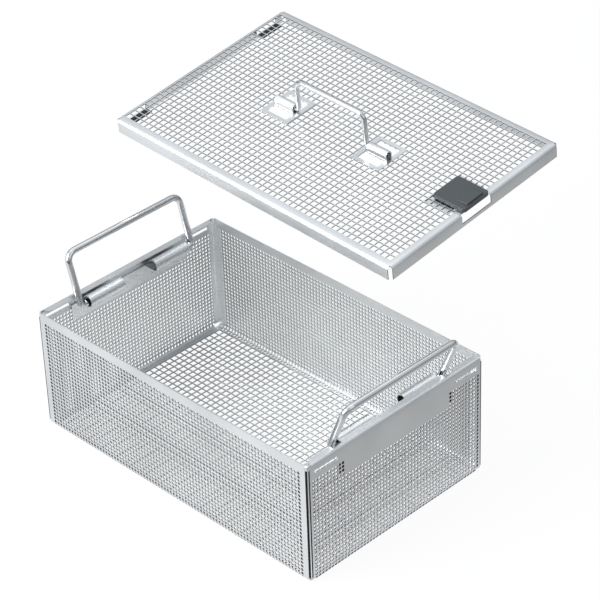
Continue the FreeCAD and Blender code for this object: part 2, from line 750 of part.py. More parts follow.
def make_eye_plate(word, side):
    """Plate on the lid with two windows and the strip between them raised to an eye."""
    low_x = EYE_PLATE_START if side > 0 else f"-{EYE_PLATE_START} - eye_plate_length"
    plate = block(f"EyePlate{word}", (low_x, "-eye_plate_width / 2", LID_TOP),
                  ("eye_plate_length", "eye_plate_width", "eye_plate_gauge"))
    window_x, window_y, length, width = eye_window(side)
    window = block(f"EyeWindow{word}", (window_x, window_y, LID_TOP),
                   (length, width, "eye_plate_gauge"))
    outer = "(lid_eye_bore + eye_plate_gauge)"
    axis_z = f"({LID_TOP} + grip_lift)"
    eye_x = LID_EYE_START if side > 0 else f"-{LID_EYE_START} - lid_eye_length"
    base = (eye_x, "0", axis_z)
    foot_width = f"(2 * {outer})"
    strip = block(f"EyeStrip{word}", (window_x, f"-{outer}", LID_TOP),
                  ("eye_window_length", foot_width, "eye_plate_gauge"))
    legs = block(f"EyeLegs{word}", (eye_x, f"-{outer}", LID_TOP),
                 ("lid_eye_length", foot_width, "grip_lift"))
    roll = rod(f"EyeCrown{word}", outer, "lid_eye_length", base, X_AXIS)
    solid = fuse(f"EyeSolid{word}", [cut(f"EyeFrame{word}", plate, window), strip, legs, roll])
    bore = rod(f"EyeHole{word}", "lid_eye_bore", "lid_eye_length", base, X_AXIS)
    hollow = block(f"EyeHollow{word}", (eye_x, "-lid_eye_bore", f"{LID_TOP} + eye_plate_gauge"),
                   ("lid_eye_length", "2 * lid_eye_bore", "grip_lift - eye_plate_gauge"))
    eye = cut(f"EyeOf{word}", solid, fuse(f"EyeRoom{word}", [bore, hollow]))
    name_lid_node(eye, f"lid_eye_plate_{word.lower()}")


def make_lid_handle():
    """The lid's swinging handle, upright, with its feet turned outwards into the eyes."""
    handle = wire_handle("LidHandle", X_AXIS, "grip_wire", "grip_span / 2", "grip_rise",
                         ("grip_foot_bend", "grip_top_bend"), "grip_foot", 1)
    bind(handle, "Placement", LID_PLACE + " * placement(vector(0; 0; lid_depth / 2 + grip_lift);"
         " rotation(0; 0; 0))")
    name_node(handle, "lid_handle")


def rivet_spots():
    """Names and Y places of the two rivets."""
    return (("Front", "-rivet_spacing / 2"), ("Back", "rivet_spacing / 2"))


def make_button():
    """Dark slide with a raised ramp for the thumb."""
    body = new_body("Button")
    low = ("button_start", "-button_width / 2", BUTTON_BOTTOM)
    add_block(body, "ButtonSlab", low, ("button_length", "button_width", "button_gauge"))
    half = size("button_width") / 2
    start = size("button_start")
    end = start + size("button_length")
    round_edges(body, "ButtonInnerEnd", "button_round", x=start, y=half)
    round_edges(body, "ButtonOuterEnd", "button_round", x=end, y=half)
    top = size("lid_depth") / 2 + size("slide_gap") + size("button_gauge")
    chamfer_edges(body, "ButtonRim", "button_gauge / 5", z=top)
    for side, place in rivet_spots():
        hole = body.newObject("PartDesign::SubtractiveCylinder", f"ButtonHole{side}")
        bind_all(hole, Radius=BORE_RADIUS, Height="button_gauge / 2", Placement__Base__x="rivet_place",
                 Placement__Base__y=place, Placement__Base__z=BUTTON_BOTTOM)
    ramp = doc.addObject("Part::Wedge", "ThumbRamp")
    ramp.Placement.Rotation = turned(X_AXIS, Z_AXIS)
    bind_all(ramp, Xmin="0", Xmax="ramp_end - ramp_start", X2min="ramp_end - ramp_start - ramp_flat",
             X2max="ramp_end - ramp_start", Ymin="0", Ymax="ramp_rise", Zmin="0", Zmax="ramp_width",
             Z2min="0", Z2max="ramp_width", Placement__Base__x="ramp_start",
             Placement__Base__y="ramp_width / 2", Placement__Base__z=f"{BUTTON_BOTTOM} + button_gauge")
    name_lid_node(fuse("ButtonWithRamp", [body, ramp]), "latch_button")


def make_bolt():
    """Steel tongue that slides out under the basket's flange."""
    slab = block("BoltSlab", ("bolt_start", "-bolt_width / 2", BOLT_BOTTOM),
                 ("bolt_length", "bolt_width", "bolt_gauge"))
    holes = [rod(f"BoltHole{side}", BORE_RADIUS, "bolt_gauge", ("rivet_place", place, BOLT_BOTTOM),
                 Z_AXIS) for side, place in rivet_spots()]
    name_lid_node(cut("Bolt", slab, group("BoltHoles", holes)), "latch_bolt")


def make_rivets():
    """Rivets: head under the bolt, shank through the lid's slots, end in the button."""
    rivets = []
    for side, place in rivet_spots():
        head = rod(f"RivetHead{side}", "rivet_head / 2", "rivet_head_gauge",
                   ("rivet_place", place, f"{BOLT_BOTTOM} - rivet_head_gauge"), Z_AXIS)
        shank = rod(f"RivetShank{side}", BORE_RADIUS,
                    f"{BUTTON_BOTTOM} + button_gauge / 2 - {BOLT_BOTTOM}",
                    ("rivet_place", place, BOLT_BOTTOM), Z_AXIS)
        rivets.append(fuse(f"Rivet{side}", [head, shank]))
    name_lid_node(group("Rivets", rivets), "latch_rivets")


def make_guide():
    """Channel under the lid in which the bolt runs."""
    roof = f"({LID_TOP} - lid_gauge)"
    inside = "(bolt_width / 2 + slide_gap)"
    floor_z = f"({BOLT_BOTTOM} - rivet_head_gauge - slide_gap - guide_gauge)"
    low_x = "(bolt_start - slide_gap - guide_gauge)"
    reach = "(bolt_length + slide_gap + guide_gauge)"
    half_y = f"({inside} + guide_gauge)"
    trough = block("GuideTrough", (low_x, f"-{half_y}", floor_z),
                   (reach, f"2 * {half_y}", f"{roof} - {floor_z}"))
    room = block("GuideRoom", (f"{low_x} + guide_gauge", f"-{inside}", f"{floor_z} + guide_gauge"),
                 (reach, f"2 * {inside}", f"{roof} - {floor_z}"))
    feet = block("GuideFeet", (low_x, f"-{half_y} - guide_foot", f"{roof} - guide_gauge"),
                 (reach, f"2 * ({half_y} + guide_foot)", "guide_gauge"))
    name_lid_node(cut("Guide", fuse("GuideOuter", [trough, feet]), room), "latch_guide")


def make_spring():
    """Leaf spring that arches up from the guide's floor towards the bolt."""
    floor_z = f"({BOLT_BOTTOM} - rivet_head_gauge - slide_gap)"
    crown_z = f"({BOLT_BOTTOM} - slide_gap)"
    centre = ("bolt_start + bolt_length / 2", "-spring_width / 2", f"{crown_z} - spring_radius")
    arch = cut("SpringArch", rod("SpringOuter", "spring_radius", "spring_width", centre, Y_AXIS),
               rod("SpringInner", "spring_radius - spring_gauge", "spring_width", centre, Y_AXIS))
    room = block("SpringRoom", (centre[0] + " - spring_radius", centre[1], floor_z),
                 ("2 * spring_radius", "spring_width", "spring_radius"))
    leaf = doc.addObject("Part::Common", "SpringLeaf")
    leaf.Base = arch
    leaf.Tool = room
    name_lid_node(leaf, "latch_spring")


def check_model():
    """Stop where any object failed or a sub-part is empty or invalid."""
    for item in doc.Objects:
        if "Invalid" in item.State or "Error" in item.State:
            raise RuntimeError(f"{item.Name} failed: {item.State}")
    for item in nodes:
        if item.Shape.isNull() or not item.Shape.isValid():
            raise RuntimeError(f"{item.Label} has no valid shape")


def write_parts():
    """Write each sub-part to a file of its own name."""
    os.makedirs("parts", exist_ok=True)
    for item in nodes:
        item.Shape.exportStep(f"parts/{item.Label}.step")
        print(item.Label, "solids", len(item.Shape.Solids), "mm3", round(item.Shape.Volume, 1))


fill_sheet()
make_floor()
make_back_wall()
make_end_walls()
make_corners()
make_brackets()
make_handles()
make_lid_sheet()
make_eye_plate("Left", -1)
make_eye_plate("Right", 1)
make_lid_handle()
make_button()
make_bolt()
make_rivets()
make_guide()
make_spring()
doc.recompute()
check_model()
write_parts()
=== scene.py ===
# %% [markdown]
# Sterilization basket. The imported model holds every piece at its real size, but its sheets
# have a few large openings where the real ones have thousands of small holes. This script
# punches, folds and bends those sheets and wires again, as a metal shop would, and gives
# every surface its finish.

# %% Load the frame
import json
import math

import bmesh
import bpy
from mathutils import Matrix, Vector


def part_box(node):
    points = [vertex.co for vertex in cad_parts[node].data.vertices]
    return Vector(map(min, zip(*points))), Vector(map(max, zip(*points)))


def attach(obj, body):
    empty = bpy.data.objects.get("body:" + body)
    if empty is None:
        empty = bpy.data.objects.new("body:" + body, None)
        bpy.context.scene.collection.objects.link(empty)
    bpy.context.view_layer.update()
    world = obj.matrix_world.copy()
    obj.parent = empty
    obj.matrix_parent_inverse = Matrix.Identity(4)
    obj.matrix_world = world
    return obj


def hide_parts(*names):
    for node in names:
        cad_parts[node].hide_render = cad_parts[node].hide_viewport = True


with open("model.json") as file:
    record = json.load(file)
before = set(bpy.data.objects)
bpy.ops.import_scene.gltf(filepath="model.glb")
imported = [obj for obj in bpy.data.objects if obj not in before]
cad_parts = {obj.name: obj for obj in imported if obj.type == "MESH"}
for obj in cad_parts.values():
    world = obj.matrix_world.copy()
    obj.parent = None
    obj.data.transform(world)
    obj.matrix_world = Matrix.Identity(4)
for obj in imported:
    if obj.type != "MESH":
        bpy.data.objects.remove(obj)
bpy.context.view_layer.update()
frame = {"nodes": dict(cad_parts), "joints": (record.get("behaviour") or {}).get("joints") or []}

MM = 0.001
nodes = frame["nodes"]
print("nodes in the frame:", len(nodes))

# %% [markdown]
# The outside of the basket is read from the frame, so that the new sheets end exactly where
# the solid ones do. The walls meet the outline at the middle of each side.

# %% Read the basket's outline
HALF_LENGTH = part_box("right_end_wall")[1].x
HALF_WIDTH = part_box("back_wall")[1].y
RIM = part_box("back_wall")[1].z
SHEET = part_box("floor_sheet")[1].z
print("basket:", [round(v / MM, 1) for v in (2 * HALF_LENGTH, 2 * HALF_WIDTH, RIM)], "mm")

# %% [markdown]
# The camera stands in front, to the right and above. A long lens from more than a metre away
# keeps the basket's edges nearly parallel, and the picture leans a little, so the camera is
# rolled by two degrees.

# %% Place the camera
CAMERA_PLACE = Vector((1.0663, -0.9816, 1.0870))
CAMERA_TURN = math.radians(46.16)
CAMERA_DROP = math.radians(33.72)
CAMERA_ROLL = math.radians(-2.23)
CAMERA_LENS = 155.65

camera_data = bpy.data.cameras.new("camera")
camera_data.lens = CAMERA_LENS
camera_data.sensor_width = 36
camera_data.clip_start = 0.05
camera = bpy.data.objects.new("camera", camera_data)
camera.matrix_world = (Matrix.Translation(CAMERA_PLACE)
                       @ Matrix.Rotation(CAMERA_TURN, 4, "Z")
                       @ Matrix.Rotation(math.pi / 2 - CAMERA_DROP, 4, "X")
                       @ Matrix.Rotation(CAMERA_ROLL, 4, "Z"))
bpy.context.scene.collection.objects.link(camera)
bpy.context.scene.camera = camera
print("camera lens", camera_data.lens)

# %% [markdown]
# The ground is white. To the camera, and in the steel's reflections, it is mostly a plain
# white glow, so that the picture has a white background and only a soft shadow. The lamps are large and soft: one over the
# front left corner, a weaker one from the right and one from above.

# %% Make the ground, the world and the lamps
GROUND_SIZE = 6.0
GROUND_GLOW = 0.93
# From and to this far along X the ground that the steel mirrors dims from one share to another
SIDE_SHADE = (0.11, 0.2, 1.0, 0.52)
# Between these heights of the sky its light grows from one strength to another
SKY_RISE = (0.05, 0.45, 0.12, 0.7)


def node_of(tree, kind, **settings):
    """A new shader node with its sockets set by name."""
    node = tree.nodes.new(kind)
    for name, value in settings.items():
        node.inputs[name.replace("_", " ")].default_value = value
    return node


def maths(tree, operation, *sources):
    """A node that works out something from other nodes' outputs."""
    node = tree.nodes.new("ShaderNodeMath")
    node.operation = operation
    for number, source in enumerate(sources):
        tree.links.new(source, node.inputs[number])
    return node


def make_ground():
    """A large plane just under the basket."""
    bm = bmesh.new()
    bmesh.ops.create_grid(bm, x_segments=1, y_segments=1, size=GROUND_SIZE / 2)
    bmesh.ops.translate(bm, verts=bm.verts, vec=(0, 0, -0.3 * MM))
    mesh = bpy.data.meshes.new("ground")
    bm.to_mesh(mesh)
    bm.free()
    ground = bpy.data.objects.new("ground", mesh)
    bpy.context.scene.collection.objects.link(ground)
    material = bpy.data.materials.new("white_ground")
    material.use_nodes = True
    tree = material.node_tree
    shader = tree.nodes["Principled BSDF"]
    shader.inputs["Base Color"].default_value = (0.85, 0.85, 0.85, 1)
    shader.inputs["Roughness"].default_value = 0.9
    glow = node_of(tree, "ShaderNodeEmission", Color=(1, 1, 1, 1), Strength=1.0)
    path = tree.nodes.new("ShaderNodeLightPath")
    share = maths(tree, "MULTIPLY", path.outputs["Is Camera Ray"])
    share.inputs[1].default_value = GROUND_GLOW
    glowing = maths(tree, "MAXIMUM", share.outputs[0], path.outputs["Is Glossy Ray"])
    where = tree.nodes.new("ShaderNodeTexCoord")
    parts = tree.nodes.new("ShaderNodeSeparateXYZ")
    dimmed = node_of(tree, "ShaderNodeMapRange")
    for name, value in zip(("From Min", "From Max", "To Min", "To Max"), SIDE_SHADE):
        dimmed.inputs[name].default_value = value
    tree.links.new(where.outputs["Object"], parts.inputs["Vector"])
    tree.links.new(parts.outputs["X"], dimmed.inputs["Value"])
    strength = maths(tree, "MAXIMUM", path.outputs["Is Camera Ray"], dimmed.outputs["Result"])
    tree.links.new(strength.outputs[0], glow.inputs["Strength"])
    mix = tree.nodes.new("ShaderNodeMixShader")
    tree.links.new(glowing.outputs[0], mix.inputs[0])
    tree.links.new(shader.outputs[0], mix.inputs[1])
    tree.links.new(glow.outputs[0], mix.inputs[2])
    tree.links.new(mix.outputs[0], tree.nodes["Material Output"].inputs["Surface"])
    mesh.materials.append(material)


def make_world():
    """Soft light, dark near the horizon, and white where the camera looks past the ground."""
    world = bpy.data.worlds.new("studio")
    bpy.context.scene.world = world
    world.use_nodes = True
    tree = world.node_tree
    lit = tree.nodes["Background"]
    lit.inputs["Color"].default_value = (0.92, 0.96, 1.0, 1)
    where = tree.nodes.new("ShaderNodeTexCoord")
    parts = tree.nodes.new("ShaderNodeSeparateXYZ")
    rise = node_of(tree, "ShaderNodeMapRange")
    for name, value in zip(("From Min", "From Max", "To Min", "To Max"), SKY_RISE):
        rise.inputs[name].default_value = value
    tree.links.new(where.outputs["Generated"], parts.inputs["Vector"])
    tree.links.new(parts.outputs["Z"], rise.inputs["Value"])
    tree.links.new(rise.outputs["Result"], lit.inputs["Strength"])
    white = node_of(tree, "ShaderNodeBackground", Color=(1, 1, 1, 1), Strength=1.0)
    path = tree.nodes.new("ShaderNodeLightPath")
    mix = tree.nodes.new("ShaderNodeMixShader")
    tree.links.new(path.outputs["Is Camera Ray"], mix.inputs[0])
    tree.links.new(lit.outputs[0], mix.inputs[1])
    tree.links.new(white.outputs[0], mix.inputs[2])
    tree.links.new(mix.outputs[0], tree.nodes["World Output"].inputs["Surface"])


def soft_lamp(name, place, aim, size, watts):
    """A square area lamp at a place, turned towards a point."""
    data = bpy.data.lights.new(name, "AREA")
    data.shape = "SQUARE"
    data.size = size
    data.energy = watts
    lamp = bpy.data.objects.new(name, data)
    lamp.location = place
    lamp.rotation_euler = (Vector(aim) - Vector(place)).to_track_quat("-Z", "Y").to_euler()
    bpy.context.scene.collection.objects.link(lamp)


make_ground()
make_world()
soft_lamp("front_left_lamp", (-0.7, -1.6, 1.1), (0, 0, 0.05), 1.4, 50)
soft_lamp("right_lamp", (1.7, 0.2, 0.9), (0, 0, 0.05), 1.0, 2)
soft_lamp("top_lamp", (-0.2, 0.2, 2.2), (0, 0, 0.05), 2.6, 12)
bpy.context.scene.view_settings.view_transform = "Standard"
print("stage, world and lamps are ready")

# %% [markdown]
# Satin steel is a metal whose brushed grain blurs what it reflects. The grain is a stretched
# noise in the roughness and in a very low bump; a second, large noise shifts the tone a
# little, as rolled sheet does. The side faces of the holes get a near-black, rougher finish:
# this is painted shade, for the shade inside each hole, and it draws the dark net that the eye sees.

# %% Define the steel finishes
FACE_TONE = (0.71, 0.73, 0.745, 1)
EDGE_SHADE_TONE = (0.09, 0.095, 0.1, 1)


def steel(name, tone, roughness, grain=(1, 1, 1), grain_scale=900, patchiness=0.06, bump=0.02):
    """A steel finish with grain, patches of slightly other tone, and a faint bump."""
    material = bpy.data.materials.new(name)
    material.use_nodes = True
    tree = material.node_tree
    shader = tree.nodes["Principled BSDF"]
    shader.inputs["Metallic"].default_value = 1.0
    where = tree.nodes.new("ShaderNodeTexCoord")
    stretch = node_of(tree, "ShaderNodeMapping", Scale=grain)
    fine = node_of(tree, "ShaderNodeTexNoise", Scale=grain_scale, Detail=3.0)
    large = node_of(tree, "ShaderNodeTexNoise", Scale=22.0, Detail=2.0)
    tree.links.new(where.outputs["Object"], stretch.inputs["Vector"])
    tree.links.new(stretch.outputs["Vector"], fine.inputs["Vector"])
    tree.links.new(where.outputs["Object"], large.inputs["Vector"])

    tones = tree.nodes.new("ShaderNodeValToRGB")
    low = [channel * (1 - patchiness) for channel in tone[:3]]
    high = [min(1.0, channel * (1 + patchiness)) for channel in tone[:3]]
    tones.color_ramp.elements[0].position = 0.3
    tones.color_ramp.elements[0].color = (*low, 1)
    tones.color_ramp.elements[1].position = 0.7
    tones.color_ramp.elements[1].color = (*high, 1)
    tree.links.new(large.outputs["Fac"], tones.inputs["Fac"])
    tree.links.new(tones.outputs["Color"], shader.inputs["Base Color"])

    rough = node_of(tree, "ShaderNodeMapRange")
    rough.inputs["To Min"].default_value = roughness - 0.06
    rough.inputs["To Max"].default_value = roughness + 0.08
    tree.links.new(fine.outputs["Fac"], rough.inputs["Value"])
    tree.links.new(rough.outputs["Result"], shader.inputs["Roughness"])

    relief = node_of(tree, "ShaderNodeBump", Strength=bump, Distance=0.2 * MM)
    tree.links.new(fine.outputs["Fac"], relief.inputs["Height"])
    tree.links.new(relief.outputs["Normal"], shader.inputs["Normal"])
    return material


sheet_steel = steel("satin_sheet", FACE_TONE, 0.42, grain=(0.15, 0.15, 1.0))
lid_steel = steel("satin_lid", FACE_TONE, 0.42, grain=(0.08, 1.0, 1.0))
# Near-black rough finish for cut edges: painted shade for the shade inside the holes and along the edges.
painted_shade_edge_steel = steel("painted_shade_edge", EDGE_SHADE_TONE, 0.6, grain_scale=1500, bump=0.05)
plain_steel = steel("plain_steel", (0.84, 0.86, 0.87, 1), 0.28)
# Near-black painted shadow for gaps in shade and for the plate seen behind the wall's holes.
painted_shadow_steel = steel("painted_shadow", (0.02, 0.021, 0.022, 1), 0.7)
wire_steel = steel("polished_wire", (0.69, 0.705, 0.72, 1), 0.14, grain_scale=600, bump=0.0)
print("steel finishes:", [m.name for m in (sheet_steel, lid_steel, painted_shade_edge_steel, plain_steel)])

# %% [markdown]
# A perforated sheet starts as a flat blank. The blank is cut into cells with planes; each
# cell of the hole field is inset, and the inner face is taken out, which leaves one opening
# per cell. The blank lies in the XY plane with its outside facing up, so every later fold
# bends its edge down and away from the outside.

# %% Write the sheet-metal tools
BEND_STEPS = 5


def all_geometry(bm):
    """Every vertex, edge and face of a mesh being made."""
    return bm.verts[:] + bm.edges[:] + bm.faces[:]


def cut_blank(lengthwise, crosswise):
    """A rectangle from the first to the last cut, with a line of edges at every cut."""
    lengthwise = sorted(lengthwise)
    crosswise = sorted(crosswise)
    bm = bmesh.new()
    bmesh.ops.create_grid(bm, x_segments=1, y_segments=1, size=0.5)
    bmesh.ops.scale(bm, verts=bm.verts, vec=(lengthwise[-1] - lengthwise[0],
                                             crosswise[-1] - crosswise[0], 1))
    bmesh.ops.translate(bm, verts=bm.verts, vec=((lengthwise[-1] + lengthwise[0]) / 2,
                                                 (crosswise[-1] + crosswise[0]) / 2, 0))
    slice_sheet(bm, lengthwise[1:-1], crosswise[1:-1])
    return bm


def field_lines(low, high, count):
    """Cell borders of a hole field."""
    return [low + (high - low) * number / count for number in range(count + 1)]


def between(value, low, high):
    """Whether a value lies inside a stretch."""
    return low < value < high


def faces_in(bm, low_x, high_x, low_y, high_y):
    """Faces whose middle lies in a rectangle."""
    chosen = []
    for face in bm.faces:
        middle = face.calc_center_median()
        if between(middle.x, low_x, high_x) and between(middle.y, low_y, high_y):
            chosen.append(face)
    return chosen


def punch(bm, cells, bar, corner):
    """One opening in each cell, with its corners taken off."""
    bmesh.ops.inset_individual(bm, faces=cells, thickness=bar / 2, use_even_offset=True)
    corners = list({vertex for face in cells for vertex in face.verts})
    bmesh.ops.delete(bm, geom=cells, context="FACES")
    bmesh.ops.bevel(bm, geom=corners, offset=corner, offset_type="OFFSET", segments=1,
                    profile=0.5, affect="VERTICES", material=-1)


def cut_away(bm, *rectangle):
    """Take the faces of a rectangle out of the blank."""
    bmesh.ops.delete(bm, geom=faces_in(bm, *rectangle), context="FACES")


def slice_sheet(bm, lengthwise, crosswise):
    """Add lines of edges after the punching, where the sheet is cut or bent."""
    for place in lengthwise:
        bmesh.ops.bisect_plane(bm, geom=all_geometry(bm), dist=1e-7,
                               plane_co=(place, 0, 0), plane_no=(1, 0, 0))
    for place in crosswise:
        bmesh.ops.bisect_plane(bm, geom=all_geometry(bm), dist=1e-7,
                               plane_co=(0, place, 0), plane_no=(0, 1, 0))


def round_corner(bm, centre_x, centre_y, radius, side):
    """Cut a corner of the blank to a quarter round of four flats."""
    for number in range(4):
        turn = math.pi / 2 * (number + 0.5) / 4
        outward = Vector((side * math.cos(turn), math.sin(turn), 0))
        near = [face for face in bm.faces
                if side * (face.calc_center_median().x - centre_x) > 0
                and face.calc_center_median().y > centre_y]
        near += list({edge for face in near for edge in face.edges})
        near += list({vertex for face in near if isinstance(face, bmesh.types.BMFace)
                      for vertex in face.verts})
        bmesh.ops.bisect_plane(bm, geom=near, dist=1e-7, clear_outer=True,
                               plane_co=Vector((centre_x, centre_y, 0)) + outward * radius,
                               plane_no=outward)


def thicken(bm, gauge):
    """Give the flat blank its thickness; side faces get the second material, the near-black painted shade of
    the cut edges.
    """
    grown = bmesh.ops.extrude_face_region(bm, geom=bm.faces[:])
    lower = [item for item in grown["geom"] if isinstance(item, bmesh.types.BMVert)]
    bmesh.ops.translate(bm, verts=lower, vec=(0, 0, -gauge))
    bmesh.ops.recalc_face_normals(bm, faces=bm.faces[:])
    for face in bm.faces:
        face.material_index = 0 if abs(face.normal.z) > 0.5 else 1


def plain_edges(bm, low_x, high_x, low_y, high_y):
    """Side faces outside the hole field look like the sheet's faces."""
    for face in bm.faces:
        middle = face.calc_center_median()
        inside = between(middle.x, low_x, high_x) and between(middle.y, low_y, high_y)
        if not inside:
            face.material_index = 0


def bend_length(radius):
    """Length of blank that one right-angle bend takes on its outside."""
    return BEND_STEPS * 2 * radius * math.tan(math.pi / 4 / BEND_STEPS)


def bend_lines(start, radius, side):
    """The lines at which a right-angle bend turns the sheet, outwards from a start."""
    step = bend_length(radius) / BEND_STEPS
    return [start + side * (number + 0.5) * step for number in range(BEND_STEPS)]


def fold(bm, lines, along, side):
    """Fold the sheet beyond each line, the outermost first, by equal turns to 90 degrees."""
    index = 1 if along == "X" else 0
    flat = {vertex: vertex.co[index] for vertex in bm.verts}
    turn = math.pi / 2 / len(lines) * (-side if along == "X" else side)
    for line in sorted(lines, key=lambda place: -side * place):
        beyond = [vertex for vertex, place in flat.items() if side * (place - line) > 1e-6]
        centre = (0, line, 0) if along == "X" else (line, 0, 0)
        bmesh.ops.rotate(bm, verts=beyond, cent=centre, matrix=Matrix.Rotation(turn, 3, along))


def finish_piece(bm, name, place, body, materials, replaced=(), smooth_angle=35):
    """Put the mesh where it belongs and attach the piece to its body."""
    bmesh.ops.transform(bm, matrix=place, verts=bm.verts)
    mesh = bpy.data.meshes.new(name)
    bm.to_mesh(mesh)
    bm.free()
    for material in materials:
        mesh.materials.append(material)
    mesh.shade_smooth()
    mesh.set_sharp_from_angle(angle=math.radians(smooth_angle))
    piece = bpy.data.objects.new(name, mesh)
    bpy.context.scene.collection.objects.link(piece)
    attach(piece, body)
    if replaced:
        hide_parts(*replaced)
    print(name, "faces", len(mesh.polygons))
    return piece


# %% [markdown]
# The long walls: a plain strip along the top, and rows of fine holes that run down over the
# bottom bend and onto the return. The wall stands on its outline line, so its blank is
# tilted up by a quarter turn and, for the back wall, turned round.

# %% Fold the long walls
FINE_BAR = 0.85 * MM
FINE_CORNER = 0.6 * MM
FLOOR_BEND = 3.0 * MM
LONG_COLUMNS = 83
LONG_ROWS = 30
LONG_FIELD = 124.5 * MM
LONG_FIELD_TOP = RIM - 6.4 * MM
LONG_RETURN = 4.8 * MM
RETURN_MARGIN = 0.3 * MM


def stand_wall(turn, distance):
    """The place of a wall whose flat blank has its height along Y."""
    return (Matrix.Rotation(turn, 4, "Z") @ Matrix.Translation((0, -distance, 0))
            @ Matrix.Rotation(math.pi / 2, 4, "X"))


def return_edge(reach):
    """Flat height at which a wall's return ends, below the bottom bend."""
    return FLOOR_BEND - bend_length(FLOOR_BEND) - (reach - FLOOR_BEND)


def make_long_wall(name, turn):
    """One long wall with its hole field and return."""
    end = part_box(name)[1].x
    edge = return_edge(LONG_RETURN)
    rows = field_lines(edge + RETURN_MARGIN, LONG_FIELD_TOP, LONG_ROWS)
    columns = field_lines(-LONG_FIELD, LONG_FIELD, LONG_COLUMNS)
    field = (-LONG_FIELD, LONG_FIELD, rows[0], rows[-1])
    bm = cut_blank([-end, end] + columns, [edge, RIM] + rows)
    punch(bm, faces_in(bm, *field), FINE_BAR, FINE_CORNER)
    low_lines = bend_lines(FLOOR_BEND, FLOOR_BEND, -1)
    slice_sheet(bm, [], low_lines)
    thicken(bm, SHEET)
    plain_edges(bm, *field)
    fold(bm, low_lines, "X", -1)
    return finish_piece(bm, name + "_mesh", stand_wall(turn, HALF_WIDTH), "basket",
                        [sheet_steel, painted_shade_edge_steel], [name])


make_long_wall("front_wall", 0)
make_long_wall("back_wall", math.pi)

# %% [markdown]
# The end walls are folded twice: the top flange inwards, with two notches for the
# handles' legs, and the return beside the floor. Above the hole field are the slots for the
# lid's hooks, and a plain panel is left in the middle. The holes are punched first and the
# notches, slots and ends cut after them.

# %% Fold the end walls
END_COLUMNS = 53
END_ROWS = 27
END_FIELD = 79.5 * MM
END_FIELD_BOTTOM = 1.0 * MM
END_FIELD_TOP = 82.0 * MM
PANEL_HALF = 49.5 * MM
PANEL_BOTTOM = 71.0 * MM
END_RETURN = 6.0 * MM
END_RETURN_HALF = HALF_WIDTH - 5.4 * MM
FLANGE = 6.0 * MM
FLANGE_BEND = 1.8 * MM
FLANGE_HALF = HALF_WIDTH - 4.5 * MM
FLANGE_ROUND = 4.0 * MM
NOTCH_PLACE = 52.8 * MM
NOTCH_WIDTH = 8.5 * MM
NOTCH_END = 3.04 * MM
SLOT_LOW, SLOT_HIGH = 55.8 * MM, 77.0 * MM
SLOT_BOTTOM, SLOT_TOP = 85.95 * MM, 88.45 * MM


def flange_line(reach):
    """Flat height at which the flange reaches a distance from the outline."""
    return RIM - FLANGE_BEND + bend_length(FLANGE_BEND) + reach - FLANGE_BEND


def make_end_wall(name, turn):
    """One end wall with flange, notches, slots, holes and return."""
    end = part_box(name)[1].y
    top_lines = bend_lines(RIM - FLANGE_BEND, FLANGE_BEND, 1)
    low_lines = bend_lines(FLOOR_BEND, FLOOR_BEND, -1)
    low_edge, high_edge, notch_edge = return_edge(END_RETURN), flange_line(FLANGE), flange_line(NOTCH_END)
    field = (-END_FIELD, END_FIELD, END_FIELD_BOTTOM, END_FIELD_TOP)
    bm = cut_blank([-end, end] + field_lines(-END_FIELD, END_FIELD, END_COLUMNS),
                   [low_edge, high_edge] + field_lines(END_FIELD_BOTTOM, END_FIELD_TOP, END_ROWS))
    panel = set(faces_in(bm, -PANEL_HALF, PANEL_HALF, PANEL_BOTTOM, END_FIELD_TOP))
    punch(bm, [face for face in faces_in(bm, *field) if face not in panel], FINE_BAR, FINE_CORNER)
    places = (SLOT_LOW, SLOT_HIGH, FLANGE_HALF, FLANGE_HALF - FLANGE_ROUND, END_RETURN_HALF,
              NOTCH_PLACE - NOTCH_WIDTH / 2, NOTCH_PLACE + NOTCH_WIDTH / 2)
    slice_sheet(bm, [side * place for side in (-1, 1) for place in places],
                [notch_edge, high_edge - FLANGE_ROUND, SLOT_BOTTOM, SLOT_TOP] + top_lines + low_lines)
    for side in (-1, 1):
        cut_away(bm, *sorted((side * SLOT_LOW, side * SLOT_HIGH)), SLOT_BOTTOM, SLOT_TOP)
        notch = sorted((side * (NOTCH_PLACE - NOTCH_WIDTH / 2), side * (NOTCH_PLACE + NOTCH_WIDTH / 2)))
        cut_away(bm, *notch, notch_edge, high_edge + MM)
        cut_away(bm, *sorted((side * FLANGE_HALF, side * (end + MM))), top_lines[-1], high_edge + MM)
        cut_away(bm, *sorted((side * END_RETURN_HALF, side * (end + MM))), low_edge - MM, low_lines[0])
        round_corner(bm, side * (FLANGE_HALF - FLANGE_ROUND), high_edge - FLANGE_ROUND, FLANGE_ROUND, side)
    thicken(bm, SHEET)
    plain_edges(bm, *field)
    fold(bm, top_lines, "X", 1)
    fold(bm, low_lines, "X", -1)
    return finish_piece(bm, name + "_mesh", stand_wall(turn, HALF_LENGTH), "basket",
                        [sheet_steel, painted_shade_edge_steel], [name])


make_end_wall("right_end_wall", math.pi / 2)
make_end_wall("left_end_wall", -math.pi / 2)

# %% [markdown]
# The floor is a coarse mesh of square holes that reaches from return to return.

# %% Punch the floor
MESH_BAR = 0.7 * MM
MESH_CORNER = 0.2 * MM
MESH_EDGE = 0.4 * MM
FLOOR_COLUMNS = 50
FLOOR_ROWS = 31


def make_floor():
    """The floor sheet with its coarse mesh."""
    low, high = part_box("floor_sheet")
    columns = field_lines(low.x + MESH_EDGE, high.x - MESH_EDGE, FLOOR_COLUMNS)
    rows = field_lines(low.y + MESH_EDGE, high.y - MESH_EDGE, FLOOR_ROWS)
    bm = cut_blank([low.x, high.x] + columns, [low.y, high.y] + rows)
    punch(bm, faces_in(bm, columns[0], columns[-1], rows[0], rows[-1]), MESH_BAR, MESH_CORNER)
    thicken(bm, SHEET)
    finish_piece(bm, "floor_mesh", Matrix.Translation((0, 0, high.z)), "basket",
                 [lid_steel, painted_shade_edge_steel], ["floor_sheet"])


make_floor()

